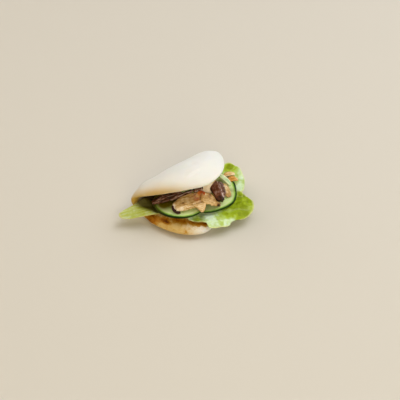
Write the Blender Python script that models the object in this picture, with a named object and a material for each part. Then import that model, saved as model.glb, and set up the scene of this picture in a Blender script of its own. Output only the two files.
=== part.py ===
"""Folded steamed bun, open in front over lettuce, cucumber slices and glazed mushroom."""

import math

import bmesh
import bpy
from mathutils import Matrix, Vector

MM = 0.001

# Bun: one oval of dough folded over. +X runs along the fold, -Y is the open side.
# Sizes below are in millimetres and degrees.
BUN_WIDTH = 97.8
BUN_MIDDLE_X = -6.9
DOUGH_THICKNESS = 12.5
RIM_THICKNESS = 8.5
RIM_ROUNDING = 7.5
THINNING_START = 0.66
LOWER_OVAL_POWER = 1.78
UPPER_LEFT_OVAL_POWER = 1.5
UPPER_RIGHT_OVAL_POWER = 1.85
LOWER_REACH = 84.0
UPPER_REACH = 66.5
UPPER_SHIFT = 11.2
FOLD_CENTRE_Y = -10.2
FOLD_RADII = (7.9, 17.1, 16.0)
RISES = (26.6, 21.6, 13.4)
DROOPS = (14.7, 0.3, 13.1)
DOUGH_CUTS = 19
RIM_CUTS = 4
DOUGH_SMOOTHING = 2
SETTLING = 1.1

# Filling.
LEAF_THICKNESS = 0.8
LEAF_CUTS = 16
CUCUMBER_THICKNESS = 3.0
CUCUMBER_SIDES = 56
CUCUMBER_EDGE = 0.5
MUSHROOM_CUTS = 7


def along(u, values):
    """Smooth value across the bun: the left value at u = -1, the middle at 0, the right at 1."""
    left, middle, right = values
    return middle + 0.5 * (right - left) * u + (0.5 * (right + left) - middle) * u * u


def fold_path(u, s):
    """Middle of the dough at u across the bun, s along it from the back of the fold."""
    radius = along(u, FOLD_RADII)
    centre_z = 0.5 * DOUGH_THICKNESS + radius
    if s < 0.0:
        turned = min(-s / radius, 0.5 * math.pi)
        straight = max(-s - 0.5 * math.pi * radius, 0.0)
        y = FOLD_CENTRE_Y + radius * math.cos(turned) - straight
        return y, centre_z - radius * math.sin(turned)
    rise = math.radians(along(u, RISES))
    droop = math.radians(along(u, DROOPS))
    arc_end = 0.5 * math.pi - rise
    turned = min(s / radius, arc_end)
    y = FOLD_CENTRE_Y + radius * math.cos(turned)
    z = centre_z + radius * math.sin(turned)
    beyond = s - radius * arc_end
    if beyond > 0.0:
        curl = (rise + droop) / (UPPER_REACH - radius * arc_end)
        slope = rise - curl * beyond
        y -= (math.sin(rise) - math.sin(slope)) / curl
        z += (math.cos(slope) - math.cos(rise)) / curl
    return y, z


def dough_middle(u, v):
    """Middle surface of the dough: u across, v from the lower rim (-1) to the upper rim (1)."""
    reach = LOWER_REACH if v < 0.0 else UPPER_REACH
    y, z = fold_path(u, v * reach)
    shift = UPPER_SHIFT * max(v, 0.0) ** 1.5
    return Vector((BUN_MIDDLE_X + 0.5 * BUN_WIDTH * u + shift, y, z))


def dough_power(u, v):
    """How square the oval is: 2 is an ellipse, less is more pointed."""
    if v < 0.0:
        return LOWER_OVAL_POWER
    return UPPER_LEFT_OVAL_POWER if u < 0.0 else UPPER_RIGHT_OVAL_POWER


def surface_normal(surface, u, v):
    step = 0.002
    across = surface(u + step, v) - surface(u - step, v)
    onward = surface(u, v + step) - surface(u, v - step)
    return across.cross(onward).normalized()


def disc_point(x, y, power):
    """A point of the square from -1 to 1, moved to the unit disc or an oval of another power."""
    u = x * math.sqrt(1.0 - 0.5 * y * y)
    v = y * math.sqrt(1.0 - 0.5 * x * x)
    r = math.hypot(u, v)
    if r < 1e-9:
        return 0.0, 0.0
    exponent = power(u, v)
    grow = ((abs(u) / r) ** exponent + (abs(v) / r) ** exponent) ** (-1.0 / exponent)
    return u * grow, v * grow


def settled(height):
    """Height above the surface of soft dough whose underside is pressed flat on it."""
    share = min(max((height - SETTLING) / (3.0 * SETTLING), 0.0), 1.0)
    return max(0.0, height - SETTLING * (1.0 - share * share * (3.0 - 2.0 * share)))


def pad_point(corner, surface, power, radius, thickness, rim_thickness, rounding):
    """A point of the cube from -1 to 1, moved to a pad round a middle surface, with a rounded rim."""
    x, y, z = corner
    u, v = disc_point(x, y, power)
    angle = 0.5 * math.pi * z
    inset = rounding / radius
    reach = 1.0 - inset + inset * math.cos(angle)
    u, v = u * reach, v * reach
    edge = max(0.0, (max(abs(x), abs(y)) - THINNING_START) / (1.0 - THINNING_START)) ** 2
    half = 0.5 * (thickness + (rim_thickness - thickness) * edge)
    return surface(u, v) + surface_normal(surface, u, v) * half * math.sin(angle)


def closed_curve(points, turn):
    """Point at a turn from 0 to 1 on the smooth closed curve through the points."""
    place = (turn % 1.0) * len(points)
    index = int(place)
    t = place - index
    a, b, c, d = (Vector(points[(index + k) % len(points)]) for k in (-1, 0, 1, 2))
    return 0.5 * (2.0 * b + (c - a) * t + (2.0 * a - 5.0 * b + 4.0 * c - d) * t**2
                  + (3.0 * b - a - 3.0 * c + d) * t**3)


def leaf_surface(rim, centre, droop_power, ruffle, ruffles):
    """Underside of a leaf: flat in the middle, following its rim's heights towards the edge."""
    middle = Vector(centre)

    def surface(u, v):
        r = math.hypot(u, v)
        turn = math.atan2(v, u) / (2.0 * math.pi)
        edge = closed_curve(rim, turn)
        point = middle.lerp(edge, r)
        wave = ruffle * math.sin(2.0 * math.pi * ruffles * turn) * r**4
        point.z = middle.z + (edge.z - middle.z) * r**droop_power + wave
        return point

    return surface


def slice_surface(start, end, width, roll, bend, taper):
    """Middle surface of a cut piece that runs from start to end, bent up in its middle."""
    start, end = Vector(start), Vector(end)
    onward = (end - start).normalized()
    side = Vector((0.0, 0.0, 1.0)).cross(onward).normalized()
    side = Matrix.Rotation(math.radians(roll), 3, onward) @ side
    up = onward.cross(side)

    def surface(u, v):
        place = start.lerp(end, 0.5 + 0.5 * u)
        return place + side * (0.5 * width * v * (1.0 + taper * u)) + up * (bend * (1.0 - u * u))

    return surface


def make_material(name, colour, roughness):
    material = bpy.data.materials.new(name)
    material.use_nodes = True
    shader = material.node_tree.nodes["Principled BSDF"]
    shader.inputs["Base Color"].default_value = (*colour, 1.0)
    shader.inputs["Roughness"].default_value = roughness
    material.diffuse_color = (*colour, 1.0)
    return material


def add_object(name, bm, material):
    """Scales a finished bmesh from millimetres to metres and makes it an object."""
    bmesh.ops.scale(bm, vec=(MM, MM, MM), verts=bm.verts)
    mesh = bpy.data.meshes.new(name)
    bm.to_mesh(mesh)
    bm.free()
    mesh.materials.append(material)
    mesh.shade_smooth()
    mesh.set_sharp_from_angle(angle=math.radians(50.0))
    obj = bpy.data.objects.new(name, mesh)
    bpy.context.scene.collection.objects.link(obj)
    return obj


def subdivided_cube(flat_cuts, side_cuts):
    bm = bmesh.new()
    bmesh.ops.create_cube(bm, size=2.0)
    level = [e for e in bm.edges if abs(e.verts[0].co.z - e.verts[1].co.z) < 0.1]
    bmesh.ops.subdivide_edges(bm, edges=level, cuts=flat_cuts, use_grid_fill=True)
    upright = [e for e in bm.edges if abs(e.verts[0].co.z - e.verts[1].co.z) > 0.1]
    bmesh.ops.subdivide_edges(bm, edges=upright, cuts=side_cuts, use_grid_fill=True)
    return bm


def add_pad(name, surface, power, radius, thickness, rim_thickness, rounding, cuts, smoothing,
            material):
    """A closed pad of rounded outline round a middle surface."""
    bm = subdivided_cube(*cuts)
    for vert in bm.verts:
        vert.co = pad_point(vert.co, surface, power, radius, thickness, rim_thickness, rounding)
        vert.co.z = settled(vert.co.z)
    curved = [v for v in bm.verts if v.co.z > 0.0]
    for _ in range(smoothing):
        bmesh.ops.smooth_vert(bm, verts=curved, factor=0.5, use_axis_x=True, use_axis_y=True,
                              use_axis_z=True)
    bmesh.ops.triangulate(bm, faces=bm.faces)
    return add_object(name, bm, material)


def add_leaf(name, rim, centre, droop_power, ruffle, ruffles, material):
    """A thin wavy leaf, its two faces split into triangles alike."""
    surface = leaf_surface(rim, centre, droop_power, ruffle, ruffles)
    bm = bmesh.new()
    bmesh.ops.create_grid(bm, x_segments=LEAF_CUTS, y_segments=LEAF_CUTS, size=1.0)
    for vert in bm.verts:
        vert.co = surface(*disc_point(vert.co.x, vert.co.y, lambda u, v: 2.0))
    bmesh.ops.triangulate(bm, faces=bm.faces)
    obj = add_object(name, bm, material)
    wall = obj.modifiers.new("leaf thickness", "SOLIDIFY")
    wall.thickness = LEAF_THICKNESS * MM
    wall.offset = 1.0
    return obj


def add_cucumber(name, semi_axes, centre, heading, tilt, tilt_heading, material):
    """A slantwise cucumber slice: an oval disc with a narrow bevel, tilted up towards a heading."""
    bm = bmesh.new()
    bmesh.ops.create_circle(bm, cap_ends=True, segments=CUCUMBER_SIDES, radius=1.0)
    raised = bmesh.ops.extrude_face_region(bm, geom=bm.faces[:])["geom"]
    raised_verts = [g for g in raised if isinstance(g, bmesh.types.BMVert)]
    bmesh.ops.translate(bm, vec=(0.0, 0.0, CUCUMBER_THICKNESS), verts=raised_verts)
    bmesh.ops.scale(bm, vec=(*semi_axes, 1.0), verts=bm.verts)
    bmesh.ops.recalc_face_normals(bm, faces=bm.faces)
    rims = [e for e in bm.edges if abs(e.verts[0].co.z - e.verts[1].co.z) < 0.1]
    bmesh.ops.bevel(bm, geom=rims, offset=CUCUMBER_EDGE, offset_type="OFFSET", affect="EDGES",
                    segments=1, profile=0.5, material=-1)
    uphill = Matrix.Rotation(math.radians(tilt_heading), 4, "Z")
    tilting = uphill @ Matrix.Rotation(math.radians(-tilt), 4, "Y") @ uphill.inverted()
    turning = Matrix.Rotation(math.radians(heading), 4, "Z")
    lifting = Matrix.Translation((0.0, 0.0, -0.5 * CUCUMBER_THICKNESS))
    bmesh.ops.transform(bm, matrix=Matrix.Translation(centre) @ tilting @ turning @ lifting,
                        verts=bm.verts)
    bmesh.ops.triangulate(bm, faces=bm.faces)
    return add_object(name, bm, material)


def add_slice(name, start, end, width, thickness, material, roll=0.0, bend=0.0, taper=0.0,
              power=2.8, rim_share=0.75):
    """A cut mushroom piece from start to end; its rim is rounded and thinner than its middle."""
    surface = slice_surface(start, end, width, roll, bend, taper)
    rounding = 0.3 * thickness
    return add_pad(name, surface, lambda u, v: power, 0.5 * width, thickness,
                   rim_share * thickness, rounding, (MUSHROOM_CUTS, 1), 0, material)


def build_bun():
    dough = make_material("steamed dough", (0.86, 0.80, 0.66), 0.5)
    add_pad("bun", dough_middle, dough_power, 0.5 * BUN_WIDTH, DOUGH_THICKNESS, RIM_THICKNESS,
            RIM_ROUNDING, (DOUGH_CUTS, RIM_CUTS), DOUGH_SMOOTHING, dough)


def build_lettuce():
    """Three torn leaves: out at the left, over the right front rim, and up at the right back."""
    leaf = make_material("lettuce", (0.36, 0.52, 0.10), 0.45)
    left_rim = [
        (-45.0, -27.8, 13.2), (-30.0, -33.0, 13.0), (-14.0, -31.0, 13.1), (-13.0, -14.0, 13.1),
        (-28.0, -14.0, 13.4), (-37.5, -12.0, 13.6), (-45.0, -9.2, 19.2), (-51.5, -8.9, 18.0),
        (-60.0, -8.5, 13.6), (-72.0, -9.0, 10.6), (-73.1, -14.5, 10.3), (-71.2, -18.3, 10.2),
        (-62.4, -22.8, 11.6),
    ]
    front_rim = [
        (43.0, -66.0, 10.8), (48.0, -57.4, 13.0), (47.0, -51.5, 14.6), (44.5, -41.5, 15.2),
        (34.0, -33.0, 13.1), (16.0, -29.0, 13.1), (-2.0, -36.0, 13.1), (-19.0, -49.0, 13.2),
        (-9.0, -55.5, 13.2), (-6.0, -62.0, 12.4), (-4.8, -67.0, 10.4), (5.0, -68.5, 9.0),
        (13.5, -70.5, 8.4), (19.0, -68.3, 8.8), (31.6, -69.3, 8.8),
    ]
    back_rim = [
        (58.0, -19.0, 16.0), (58.2, -11.0, 18.0), (54.6, -5.7, 19.0), (50.0, -2.4, 19.4),
        (43.0, -2.0, 18.6), (35.0, -7.0, 16.0), (26.0, -14.0, 13.2), (25.0, -25.0, 13.0),
        (34.0, -31.0, 13.0), (45.0, -39.0, 12.6), (51.5, -35.0, 13.0), (56.5, -26.5, 14.2),
    ]
    add_leaf("lettuce_left", left_rim, (-36.0, -21.0, 13.2), 2.0, 0.3, 5, leaf)
    add_leaf("lettuce_front", front_rim, (14.0, -50.0, 13.1), 4.0, 0.5, 7, leaf)
    add_leaf("lettuce_back", back_rim, (42.0, -20.0, 13.6), 2.0, 0.6, 6, leaf)


def build_cucumber():
    """Two slices of one cucumber, the left one lying on the edge of the right one."""
    flesh = make_material("cucumber", (0.55, 0.68, 0.30), 0.35)
    add_cucumber("cucumber_right", (28.0, 20.8), (16.2, -34.0, 17.0), 24.0, 2.6, 0.0, flesh)
    add_cucumber("cucumber_left", (26.4, 20.2), (-18.0, -30.6, 18.5), -48.0, 4.5, -12.0, flesh)


def build_mushroom():
    """Glazed mushroom pieces, heaped on the cucumber and reaching back under the lid."""
    pale = make_material("mushroom flesh", (0.62, 0.40, 0.20), 0.35)
    dark = make_material("mushroom skin", (0.09, 0.04, 0.025), 0.2)
    glaze = make_material("red glaze", (0.50, 0.10, 0.02), 0.2)
    add_slice("mushroom_slab", (-28.6, -37.3, 22.9), (1.0, -40.8, 25.6), 14.6, 6.4, pale,
              taper=0.1, power=3.6)
    add_slice("mushroom_wedge", (-12.5, -47.1, 26.3), (-2.8, -55.3, 23.9), 9.0, 2.6, pale,
              roll=25.0, taper=0.6)
    add_slice("mushroom_tongue", (1.6, -44.4, 27.6), (15.1, -51.9, 18.9), 12.6, 2.8, pale,
              bend=1.5, taper=-0.45)
    add_slice("mushroom_rear", (4.2, -36.2, 23.1), (18.8, -12.6, 24.9), 13.0, 8.4, pale,
              taper=0.1, bend=1.0)
    add_slice("mushroom_cap", (22.5, -29.0, 27.1), (16.7, -50.4, 23.1), 13.0, 7.0, dark,
              roll=-15.0, bend=2.0)
    add_slice("mushroom_edge", (31.5, -31.8, 21.8), (28.8, -47.2, 20.6), 7.0, 2.6, pale)
    add_slice("mushroom_stem", (-1.9, -30.6, 27.7), (6.9, -31.8, 30.1), 5.5, 4.0, dark)
    add_slice("mushroom_strip_left", (-40.3, -18.8, 19.5), (-11.1, -22.8, 22.5), 10.0, 3.2, dark,
              bend=0.8)
    add_slice("mushroom_strip_middle", (-24.9, -26.7, 23.6), (-2.7, -28.7, 27.2), 4.6, 2.8, dark)
    add_slice("glazed_strip", (4.6, -35.8, 29.7), (-3.9, -42.8, 28.3), 6.0, 1.6, glaze, bend=0.8)


def build_garnish():
    pale_green = make_material("spring onion", (0.62, 0.74, 0.42), 0.35)
    fried = make_material("fried sliver", (0.62, 0.34, 0.12), 0.4)
    add_slice("onion_strip", (32.5, -18.6, 24.3), (37.9, -33.2, 19.9), 5.0, 1.6, pale_green,
              bend=0.8, power=4.0)
    add_slice("sliver_upper", (39.2, -14.8, 18.1), (52.5, -15.3, 16.6), 3.0, 1.8, fried, bend=0.8)
    add_slice("sliver_lower", (37.5, -25.2, 21.1), (49.4, -26.2, 19.0), 5.6, 1.8, fried, bend=0.8)


def centre_on_base():
    """Moves everything so that the origin is the middle of the bounding box's bottom."""
    origin = bpy.data.objects.new("base_origin", None)
    bpy.context.scene.collection.objects.link(origin)
    depsgraph = bpy.context.evaluated_depsgraph_get()
    pieces = [obj for obj in bpy.context.scene.objects if obj.type == "MESH"]
    corners = [Vector(c) for obj in pieces for c in obj.evaluated_get(depsgraph).bound_box]
    low = Vector([min(c[axis] for c in corners) for axis in range(3)])
    high = Vector([max(c[axis] for c in corners) for axis in range(3)])
    for obj in pieces:
        obj.parent = origin
    origin.location = (-0.5 * (low.x + high.x), -0.5 * (low.y + high.y), -low.z)


for old in list(bpy.data.objects):
    bpy.data.objects.remove(old, do_unlink=True)
build_bun()
build_lettuce()
build_cucumber()
build_mushroom()
build_garnish()
centre_on_base()
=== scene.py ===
"""Looks of a folded steamed bun, open in front over lettuce, cucumber and glazed mushroom.

Lengths are in millimetres in the part's own frame, and MM turns them into metres: +X runs along
the fold, -Y is the open side and +Z is up.
"""

import math

import bmesh
import bpy
from mathutils import Matrix, Vector, noise


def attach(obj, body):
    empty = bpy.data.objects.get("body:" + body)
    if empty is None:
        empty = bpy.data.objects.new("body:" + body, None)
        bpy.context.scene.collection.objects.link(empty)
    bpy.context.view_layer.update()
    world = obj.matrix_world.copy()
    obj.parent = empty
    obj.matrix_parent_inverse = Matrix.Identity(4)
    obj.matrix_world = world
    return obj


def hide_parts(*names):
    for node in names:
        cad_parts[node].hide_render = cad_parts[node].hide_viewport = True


MM = 0.001
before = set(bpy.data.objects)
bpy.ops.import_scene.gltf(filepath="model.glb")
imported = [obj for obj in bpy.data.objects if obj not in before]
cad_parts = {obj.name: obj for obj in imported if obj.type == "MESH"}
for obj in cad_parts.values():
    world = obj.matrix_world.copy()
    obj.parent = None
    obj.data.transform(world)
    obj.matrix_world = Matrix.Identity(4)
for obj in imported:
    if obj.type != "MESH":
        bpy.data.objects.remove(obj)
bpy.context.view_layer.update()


# Steamed bun: one oval of leavened wheat dough, folded over and steamed until it is white, smooth
# and springy. The folded bun was then browned in a pan, which left toasted patches on the inside
# of its lower flap.
DOUGH_LEVELS = 2
DOUGH_SWELL = 0.30
DOUGH_SWELL_WIDTH = 15.0
DOUGH_DIMPLE = 0.06
DOUGH_DIMPLE_WIDTH = 4.0
DOUGH_PALE = "#f4f7f8"
# The dough's yellow tint, also used for painted warm shade.
DOUGH_WARM_SHADE = "#cfa94c"
# Colour of painted shade deep in the fold.
DOUGH_SHADE = "#2c1e02"
LID_DENTS = ((Vector((17.0, -4.0, 52.0)), 9.0, 0.5), (Vector((11.0, 13.4, 50.2)), 4.5, 0.95))
LID_FOLD = (Vector((-1.5, -3.9, 50.3)), Vector((13.5, -2.2, 52.2)))
FOLD_WIDTH = 1.6
FOLD_GROOVE = 0.85
FOLD_RIDGE = 0.65
LID_TOP_START = 45.0
HEEL_TOP = 9.0
HEEL_START = 2.0
HEEL_ROUNDS = 40
LEFT_END = (Vector((-46.6, 25.7, 16.0)), 7.0, Vector((-1.6, 0.8, 0.0)))
LID_SHOULDER = (Vector((-16.0, 32.5, 36.5)), Vector((14.0, 34.5, 41.0)))
SHOULDER_WIDTH = 17.0
SHOULDER_MOVE = Vector((-1.35, -2.55, -3.1))
INSIDE_TOP = 13.5
# Toasted patches on the flap; the two spots at its left end are painted shade under the left leaf.
# Each spot is its centre's x, y and z, its width and its strength.
TOAST_AND_SHADE_SPOTS = (
    (-31.2, -6.4, 10.3, 2.4, 0.50), (-30.0, -9.3, 10.1, 2.6, 0.55),
    (-29.2, -12.4, 9.8, 2.2, 0.45), (-28.5, -10.5, 10.0, 6.0, 0.12),
    (-19.0, -12.5, 11.5, 3.5, 0.32), (-21.1, -14.4, 11.0, 3.0, 0.28),
    (-18.3, -17.0, 10.8, 2.6, 0.28), (-15.5, -20.1, 10.7, 2.8, 0.22),
    (-13.6, -18.8, 11.0, 2.6, 0.30), (-11.4, -22.0, 10.8, 2.6, 0.20),
    (-8.6, -23.6, 10.5, 2.8, 0.20), (-5.0, -27.0, 10.1, 3.2, 0.28), (-1.4, -29.0, 9.8, 2.8, 0.34),
    (2.3, -30.6, 9.5, 2.6, 0.42), (6.5, -30.6, 9.3, 3.0, 0.36), (-29.5, -5.5, 10.9, 2.0, 0.20),
    (-31.5, -9.6, 9.8, 2.2, 0.25), (-38.5, -4.5, 7.4, 4.0, 0.22), (-9.5, -27.5, 9.9, 5.0, 0.10),
    (-14.0, -19.0, 10.8, 8.0, 0.17), (0.0, -29.0, 10.0, 8.0, 0.22), (-23.5, -10.0, 10.8, 5.0, 0.08),
    (-18.6, -30.0, 7.9, 2.4, 0.36), (-40.0, 1.5, 8.0, 6.5, 0.62),
)
# Painted warm shade along the lid's lower edge, strongest at its left end and at the fold's tip.
LID_EDGE_SHADE_SPOTS = (
    (-47.5, 24.5, 14.0, 5.0, 0.95), (-45.0, 23.0, 18.0, 6.5, 0.52), (-42.0, 17.5, 24.5, 6.5, 0.60),
    (-38.0, 11.0, 31.0, 6.5, 0.55), (-32.5, 5.3, 35.0, 6.5, 0.56), (-26.5, -0.3, 38.0, 6.5, 0.50),
    (-20.5, -5.5, 40.2, 6.5, 0.43), (-14.5, -10.0, 42.0, 6.5, 0.30), (-8.0, -13.5, 43.5, 6.5, 0.14),
    (2.0, -16.0, 44.0, 7.0, 0.10), (14.0, -15.5, 43.0, 7.0, 0.20), (24.0, -10.0, 42.0, 7.0, 0.18),
    (-43.0, 26.5, 23.5, 7.0, 0.16),
)
# Painted shade deep in the fold, under the lid's left end.
FOLD_SHADE_SPOTS = (
    (-40.5, 21.5, 12.0, 4.5, 0.7), (-34.0, 21.0, 13.0, 7.0, 0.9), (-29.0, 21.5, 13.5, 8.0, 0.9),
    (-22.0, 22.0, 14.0, 8.0, 0.9), (-14.0, 22.0, 14.0, 8.0, 0.7),
)


def linear(code):
    """Linear RGBA of an sRGB hex colour."""
    shares = [int(code[place:place + 2], 16) / 255.0 for place in (1, 3, 5)]
    return (*[s / 12.92 if s < 0.04045 else ((s + 0.055) / 1.055) ** 2.4 for s in shares], 1.0)


def new_piece(name, bm):
    """A smooth object at the origin, from a bmesh in millimetres."""
    bmesh.ops.scale(bm, vec=(MM, MM, MM), verts=bm.verts)
    mesh = bpy.data.meshes.new(name)
    bm.to_mesh(mesh)
    bm.free()
    mesh.shade_smooth()
    piece = bpy.data.objects.new(name, mesh)
    bpy.context.scene.collection.objects.link(piece)
    return piece


def subdivided(piece):
    """The piece's mesh with its modifiers applied."""
    depsgraph = bpy.context.evaluated_depsgraph_get()
    return bpy.data.meshes.new_from_object(piece.evaluated_get(depsgraph))


def subdivide(piece, levels, rounds=3):
    """Subdivides the piece's mesh into a smooth one that still passes through its corners."""
    finer = piece.modifiers.new("finer", "SUBSURF")
    finer.levels = levels
    finer.render_levels = levels
    corners = [vert.co.copy() for vert in piece.data.vertices]
    for _ in range(rounds):
        smooth = subdivided(piece)
        for number, corner in enumerate(corners):
            piece.data.vertices[number].co += corner - smooth.vertices[number].co
        bpy.data.meshes.remove(smooth)
    piece.data = subdivided(piece)
    piece.modifiers.clear()


def merged_copy(node):
    """A bmesh in millimetres of a CAD node, its corners merged and its triangles paired."""
    bm = bmesh.new()
    bm.from_mesh(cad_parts[node].data)
    bmesh.ops.scale(bm, vec=(1.0 / MM, 1.0 / MM, 1.0 / MM), verts=bm.verts)
    bmesh.ops.remove_doubles(bm, verts=bm.verts, dist=0.01)
    bmesh.ops.join_triangles(bm, faces=bm.faces, angle_face_threshold=math.radians(50.0),
                             angle_shape_threshold=math.radians(60.0))
    return bm


def sculpt(piece, offset):
    """Moves each point of the mesh by offset(place, normal), in millimetres."""
    moves = [offset(vert.co / MM, vert.normal) for vert in piece.data.vertices]
    for vert, move in zip(piece.data.vertices, moves):
        vert.co += move * MM
    piece.data.update()


def paint(piece, name, amount):
    """Stores amount(place, normal) at each point of the mesh, for the material to read."""
    layer = piece.data.attributes.new(name, "FLOAT", "POINT")
    layer.data.foreach_set("value", [amount(v.co / MM, v.normal) for v in piece.data.vertices])


def ease(low, high, value):
    """0 below low, 1 above high and a smooth step between them."""
    share = min(max((value - low) / (high - low), 0.0), 1.0)
    return share * share * (3.0 - 2.0 * share)


SHADER = "Principled BSDF"


def add_node(material, kind, sockets=None, stops=None, **settings):
    """Adds a node, or sets the shader. A socket takes a value, or another node's output."""
    tree = material.node_tree
    node = tree.nodes[kind] if kind == SHADER else tree.nodes.new("ShaderNode" + kind)
    for setting, value in settings.items():
        setattr(node, setting, value)
    for socket, value in (sockets or {}).items():
        if isinstance(value, bpy.types.NodeSocket):
            tree.links.new(value, node.inputs[socket])
        else:
            node.inputs[socket].default_value = value
    for place, (position, colour) in enumerate(stops or ()):
        elements = node.color_ramp.elements
        stop = elements[place] if place < 2 else elements.new(position)
        stop.position = position
        stop.color = linear(colour)
    return node


def new_material(name):
    material = bpy.data.materials.new(name)
    material.use_nodes = True
    return material


def finish_piece(piece, node, material):
    """The piece stands for a CAD node, rides with the bun and wears its material."""
    piece.data.materials.clear()
    piece.data.materials.append(material)
    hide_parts(node)
    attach(piece, "root")


def lid_fold(place):
    """A short soft fold in the skin on the lid: a groove with a low ridge behind it."""
    start, end = LID_FOLD
    onward = (end - start).normalized()
    along = (place - start).dot(onward) / (end - start).length
    if not -0.2 < along < 1.2 or place.z < LID_TOP_START:
        return 0.0
    behind = (place - start).dot(Vector((-onward.y, onward.x, 0.0)))
    groove = math.exp(-(behind / FOLD_WIDTH) ** 2)
    ridge = math.exp(-((behind - 1.9 * FOLD_WIDTH) / (1.2 * FOLD_WIDTH)) ** 2)
    fading = ease(-0.2, 0.3, along) * ease(1.2, 0.7, along)
    return (FOLD_RIDGE * ridge - FOLD_GROOVE * groove) * fading


def flatter_shoulder(place):
    """The lid slopes down flatter over its shoulder, towards the fold."""
    start, end = LID_SHOULDER
    share = (place - start).dot(end - start) / (end - start).length_squared
    nearest = start.lerp(end, min(max(share, 0.0), 1.0))
    return SHOULDER_MOVE * math.exp(-((place - nearest).length / SHOULDER_WIDTH) ** 2)


def dough_relief(place, normal):
    """Swells and dimples, with the dents and the fold of the lid and its drawn-out left end."""
    height = DOUGH_SWELL * noise.noise(place / DOUGH_SWELL_WIDTH) + lid_fold(place)
    height += DOUGH_DIMPLE * noise.noise(place / DOUGH_DIMPLE_WIDTH)
    for centre, width, depth in LID_DENTS:
        height -= depth * math.exp(-((place - centre).length / width) ** 2)
    centre, width, reach = LEFT_END
    drawn = reach * math.exp(-((place - centre).length / width) ** 2)
    return normal * (height * ease(0.0, 3.0, place.z)) + drawn + flatter_shoulder(place)


def spots_near(place, spots):
    """Sum of soft round spots, each given by its centre, its width and its strength."""
    return sum(strength * math.exp(-((place - Vector((x, y, z))).length / width) ** 2)
               for x, y, z, width, strength in spots)


def toast_and_shade(place, normal):
    """How brown the dough is: the toasted patches lie on the inside of the lower flap, and the
    spots at the flap's left end are painted shade under the left leaf.
    """
    if place.z > INSIDE_TOP or normal.z < -0.3:
        return 0.0
    uneven = 1.0 + 0.5 * noise.noise(place / 3.0) + 0.35 * noise.noise(place / 1.3)
    golden = 0.16 * ease(0.0, -32.0, place.x) * ease(3.0, 7.0, place.z) * ease(20.0, 6.0, place.y)
    golden *= 1.0 + 1.3 * noise.noise(place / 3.6)
    return min(spots_near(place, TOAST_AND_SHADE_SPOTS) * uneven + golden, 1.3)


def warmth_and_shade(place, normal):
    """How yellow the dough is painted: its own tint with painted warm shade, most along the lid's
    lower edge at the left, and on the flap.
    """
    to_the_left = 0.15 * ease(25.0, -45.0, place.x)
    flap = 0.75 * ease(16.0, 10.0, place.z) * ease(4.0, -24.0, place.x) * ease(20.0, 6.0, place.y)
    return min(1.0, to_the_left + flap + spots_near(place, LID_EDGE_SHADE_SPOTS))


def painted_shade(place, normal):
    """How dark the dough is painted deep in the fold: painted shade under the lid's left end, where
    the leaf runs in.
    """
    return min(1.0, spots_near(place, FOLD_SHADE_SPOTS))


def steamed_dough():
    """Steamed dough has a satin skin and lets a little light in; toasted, it is dry and brown."""
    dough = new_material("steamed dough")
    place = add_node(dough, "TexCoord").outputs["Object"]
    patchy = add_node(dough, "TexNoise", {"Vector": place, "Scale": 130.0, "Detail": 3.0})
    fine = add_node(dough, "TexNoise", {"Vector": place, "Scale": 700.0, "Detail": 4.0})
    # Yellow tint of the dough together with painted warm shade.
    warm = add_node(dough, "Attribute", attribute_name="warmth_and_shade").outputs["Fac"]
    # Brown of the toasted patches, with painted shade at the flap's left end.
    brown = add_node(dough, "Attribute", attribute_name="toast_and_shade").outputs["Fac"]
    uneven = add_node(dough, "Math", {0: fine.outputs["Fac"], 1: 0.5, 2: -0.25},
                      operation="MULTIPLY_ADD")
    browned = add_node(dough, "Math", {0: brown, 1: uneven.outputs[0]}, operation="ADD")
    pale = add_node(dough, "Mix", {0: warm, 6: linear(DOUGH_PALE), 7: linear(DOUGH_WARM_SHADE)},
                    data_type="RGBA")
    tone = add_node(dough, "MapRange", {"Value": patchy.outputs["Fac"], "To Min": 0.95,
                                        "To Max": 1.02})
    toned = add_node(dough, "Mix", {0: 1.0, 6: pale.outputs[2], 7: tone.outputs[0]},
                     data_type="RGBA", blend_type="MULTIPLY")
    crust_and_shade = add_node(dough, "ValToRGB", {"Fac": browned.outputs[0]},
                     stops=((0.1, "#dfc078"), (1.1, "#562400"), (0.35, "#be8e38"),
                            (0.6, "#ac6c08"), (0.85, "#864800")))
    share = add_node(dough, "MapRange", {"Value": browned.outputs[0], "From Min": 0.04,
                                         "From Max": 0.4}, interpolation_type="SMOOTHSTEP")
    colour = add_node(dough, "Mix", {0: share.outputs[0], 6: toned.outputs[2],
                                     7: crust_and_shade.outputs["Color"]}, data_type="RGBA")
    # Painted shade deep in the fold, mixed in below.
    wet = add_node(dough, "Attribute", attribute_name="painted_shade").outputs["Fac"]
    darkened = add_node(dough, "Mix", {0: wet, 6: colour.outputs[2], 7: linear(DOUGH_SHADE)},
                       data_type="RGBA")
    bump = add_node(dough, "Bump", {"Height": fine.outputs["Fac"], "Strength": 0.25,
                                    "Distance": 0.15 * MM})
    add_node(dough, SHADER, {
        "Base Color": darkened.outputs[2], "Roughness": 0.5, "IOR": 1.45,
        "Specular IOR Level": 0.3, "Specular Tint": linear("#ffecc0"),
        "Subsurface Weight": 0.25, "Subsurface Radius": (1.0, 0.7, 0.4),
        "Subsurface Scale": 2.5 * MM, "Normal": bump.outputs["Normal"],
    })
    return dough


def smooth_heel(piece):
    """Evens out the rounding between the bun's back and its underside, which rests flat."""
    bm = bmesh.new()
    bm.from_mesh(piece.data)
    heel = [vert for vert in bm.verts if vert.co.z < HEEL_TOP * MM and vert.co.y > HEEL_START * MM]
    for _ in range(HEEL_ROUNDS):
        bmesh.ops.smooth_vert(bm, verts=heel, factor=0.5, use_axis_x=True, use_axis_y=True,
                              use_axis_z=True)
    for vert in bm.verts:
        vert.co.z = max(vert.co.z, 0.0)
    bm.to_mesh(piece.data)
    bm.free()


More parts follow.
